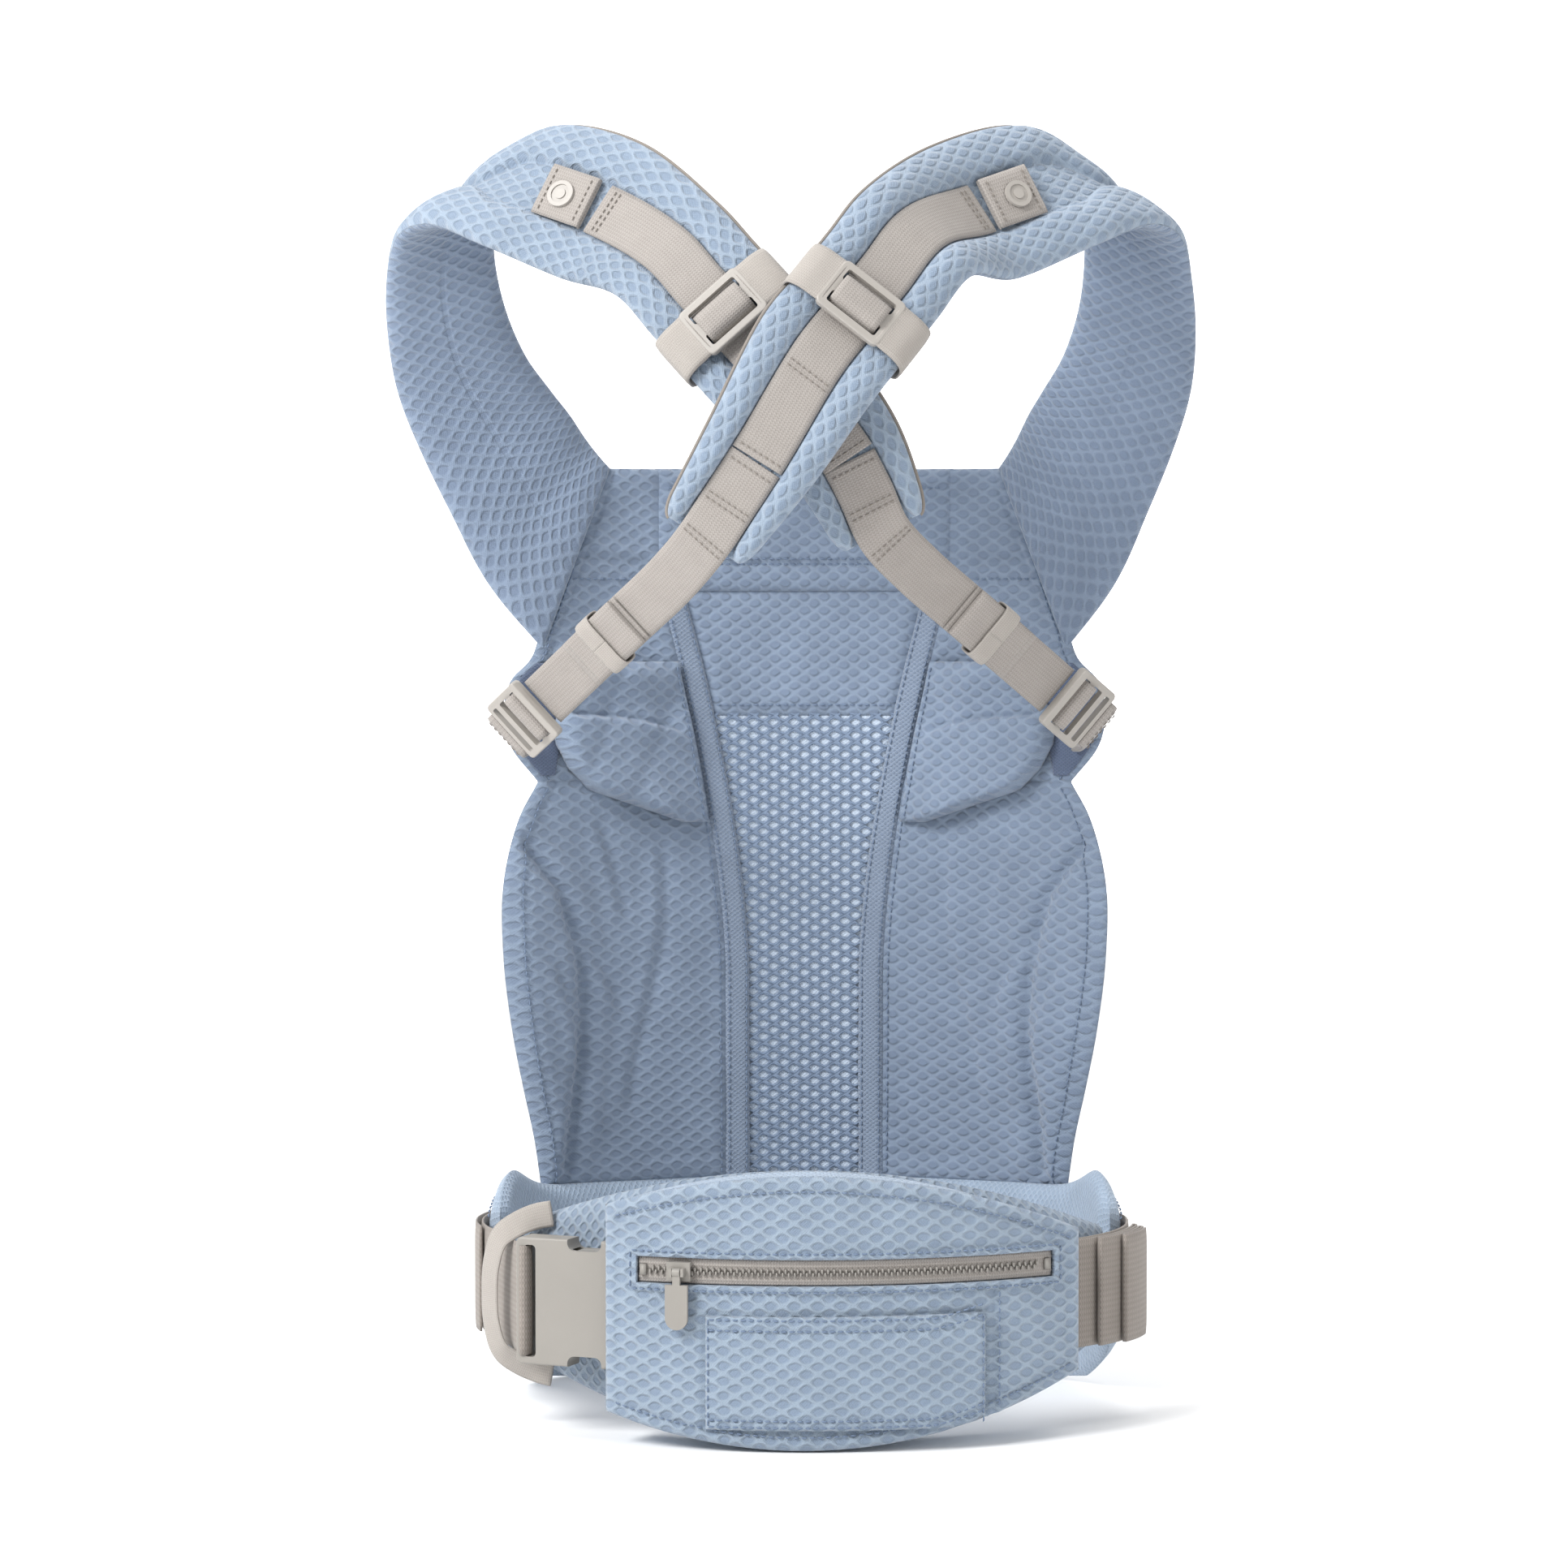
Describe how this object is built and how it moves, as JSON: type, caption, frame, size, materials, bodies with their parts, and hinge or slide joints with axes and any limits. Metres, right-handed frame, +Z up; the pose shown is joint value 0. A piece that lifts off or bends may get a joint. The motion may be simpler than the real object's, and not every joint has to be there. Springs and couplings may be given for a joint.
{
  "type": "soft baby carrier",
  "caption": "Soft structured baby carrier: padded waist belt with zipped pouch, mesh body panel and padded shoulder straps crossed at the back.",
  "frame": {"origin": "middle of the bounding box's bottom, on the floor that the waist belt and pouch stand on", "axes": "+Z up, along the tallest extent; -Y is the wearer's back, with the pouch and the crossed straps; +Y is the baby's side, with the body panel; +X is right as seen from -Y"},
  "size_m": [0.3906, 0.254, 0.6026],
  "materials": {
    "air_mesh": "matt three-layer knitted air mesh, light blue",
    "open_mesh": "matt open-hole mesh, light blue",
    "binding": "matt woven binding, blue",
    "webbing": "matt ribbed webbing, warm beige grey",
    "elastic": "matt woven elastic, warm beige grey",
    "foam": "open-cell foam",
    "hardware": "fine matt moulded acetal, warm beige grey",
    "snap_plastic": "satin moulded plastic",
    "zip_plastic": "satin moulded plastic"
  },
  "bodies": {
    "carrier": {"waist_belt": "air_mesh", "waist_foam": "foam", "lumbar_pad": "air_mesh", "lumbar_foam": "foam", "pouch_back": "air_mesh", "pouch_front": "air_mesh", "pouch_gusset": "air_mesh", "patch_pocket": "air_mesh", "zip_tape": "webbing", "zip_teeth": "zip_plastic", "buckle_socket": "hardware", "waist_webbing_left": "webbing", "waist_webbing_right": "webbing", "waist_tail_right": "webbing", "elastic_loop": "elastic", "centre_mesh": "open_mesh", "neck_panel": "air_mesh", "head_support": "air_mesh", "binding_right": "binding", "binding_left": "binding", "side_panel_right": "air_mesh", "side_panel_left": "air_mesh", "upper_panel_right": "air_mesh", "upper_panel_left": "air_mesh", "side_flap_right": "air_mesh", "side_flap_left": "air_mesh", "shoulder_strap_left": "air_mesh", "shoulder_foam_left": "foam", "snap_stud_left": "snap_plastic", "rail_webbing_left": "webbing", "adjuster_webbing_left": "webbing", "webbing_tail_left": "webbing", "lock_tab_left": "webbing", "shoulder_strap_right": "air_mesh", "shoulder_foam_right": "foam", "snap_stud_right": "snap_plastic", "rail_webbing_right": "webbing", "adjuster_webbing_right": "webbing", "webbing_tail_right": "webbing", "lock_tab_right": "webbing"},
    "zip_slider_body": {"zip_slider": "zip_plastic"},
    "zip_pull_body": {"zip_pull": "zip_plastic"},
    "plug_body": {"buckle_plug": "hardware", "plug_loop": "webbing"},
    "prong_upper_body": {"prong_upper": "hardware"},
    "prong_lower_body": {"prong_lower": "hardware"},
    "rail_slider_left_body": {"rail_slider_left": "hardware", "slider_loop_left": "webbing", "slider_band_left": "elastic"},
    "snap_tab_left_body": {"snap_tab_left": "webbing", "snap_cap_left": "snap_plastic"},
    "keeper_left_body": {"webbing_keeper_left": "elastic"},
    "ladder_lock_left_body": {"ladder_lock_left": "hardware"},
    "rail_slider_right_body": {"rail_slider_right": "hardware", "slider_loop_right": "webbing", "slider_band_right": "elastic"},
    "snap_tab_right_body": {"snap_tab_right": "webbing", "snap_cap_right": "snap_plastic"},
    "keeper_right_body": {"webbing_keeper_right": "elastic"},
    "ladder_lock_right_body": {"ladder_lock_right": "hardware"}
  },
  "joints": [
    {"name": "zip_travel", "type": "hinge", "parent": "carrier", "child": "zip_slider_body", "pos_m": [0.00624, 0.08305, 0.08], "axis": [0, 0, 1], "range_deg": [0, 44.63]},
    {"name": "zip_pull_swing", "type": "hinge", "parent": "zip_slider_body", "child": "zip_pull_body", "pos_m": [-0.05164, -0.12141, 0.08], "axis": [-0.9622, 0.2724, 0], "range_deg": [0, 150]},
    {"name": "plug_release", "type": "slide", "parent": "carrier", "child": "plug_body", "axis": [0.9205, -0.3907, 0], "range_m": [0, 0.024]},
    {"name": "prong_flex_upper", "type": "hinge", "parent": "plug_body", "child": "prong_upper_body", "pos_m": [-0.07653, -0.09148, 0.08], "axis": [-0.3907, -0.9205, 0], "range_deg": [0, 8], "stiffness_Nm_per_rad": 0.2},
    {"name": "prong_flex_lower", "type": "hinge", "parent": "plug_body", "child": "prong_lower_body", "pos_m": [-0.07653, -0.09148, 0.042], "axis": [-0.3907, -0.9205, 0], "range_deg": [-8, 0], "stiffness_Nm_per_rad": 0.2},
    {"name": "rail_slide_left", "type": "slide", "parent": "carrier", "child": "rail_slider_left_body", "axis": [-0.6316, 0.3021, 0.714], "range_m": [-0.01, 0.018]},
    {"name": "snap_lift_left", "type": "hinge", "parent": "carrier", "child": "snap_tab_left_body", "pos_m": [-0.09425, -0.03442, 0.56201], "axis": [0.4314, 0.1778, 0.8845], "range_deg": [0, 95]},
    {"name": "keeper_slide_left", "type": "slide", "parent": "carrier", "child": "keeper_left_body", "axis": [0.6337, 0.5672, -0.5261], "range_m": [-0.01, 0.01]},
    {"name": "lock_tilt_left", "type": "hinge", "parent": "carrier", "child": "ladder_lock_left_body", "pos_m": [-0.13231, 0.00723, 0.3182], "axis": [0.6736, 0, -0.7391], "range_deg": [0, 25]},
    {"name": "rail_slide_right", "type": "slide", "parent": "carrier", "child": "rail_slider_right_body", "axis": [-0.5674, -0.3783, -0.7314], "range_m": [-0.014, 0.014]},
    {"name": "snap_lift_right", "type": "hinge", "parent": "carrier", "child": "snap_tab_right_body", "pos_m": [0.09174, -0.03442, 0.56201], "axis": [0.4314, -0.1778, -0.8845], "range_deg": [0, 95]},
    {"name": "keeper_slide_right", "type": "slide", "parent": "carrier", "child": "keeper_right_body", "axis": [-0.5514, 0.6659, -0.5025], "range_m": [-0.01, 0.01]},
    {"name": "lock_tilt_right", "type": "hinge", "parent": "carrier", "child": "ladder_lock_right_body", "pos_m": [0.14168, 0.00573, 0.32317], "axis": [0.6388, 0, 0.7694], "range_deg": [0, 25]}
  ]
}
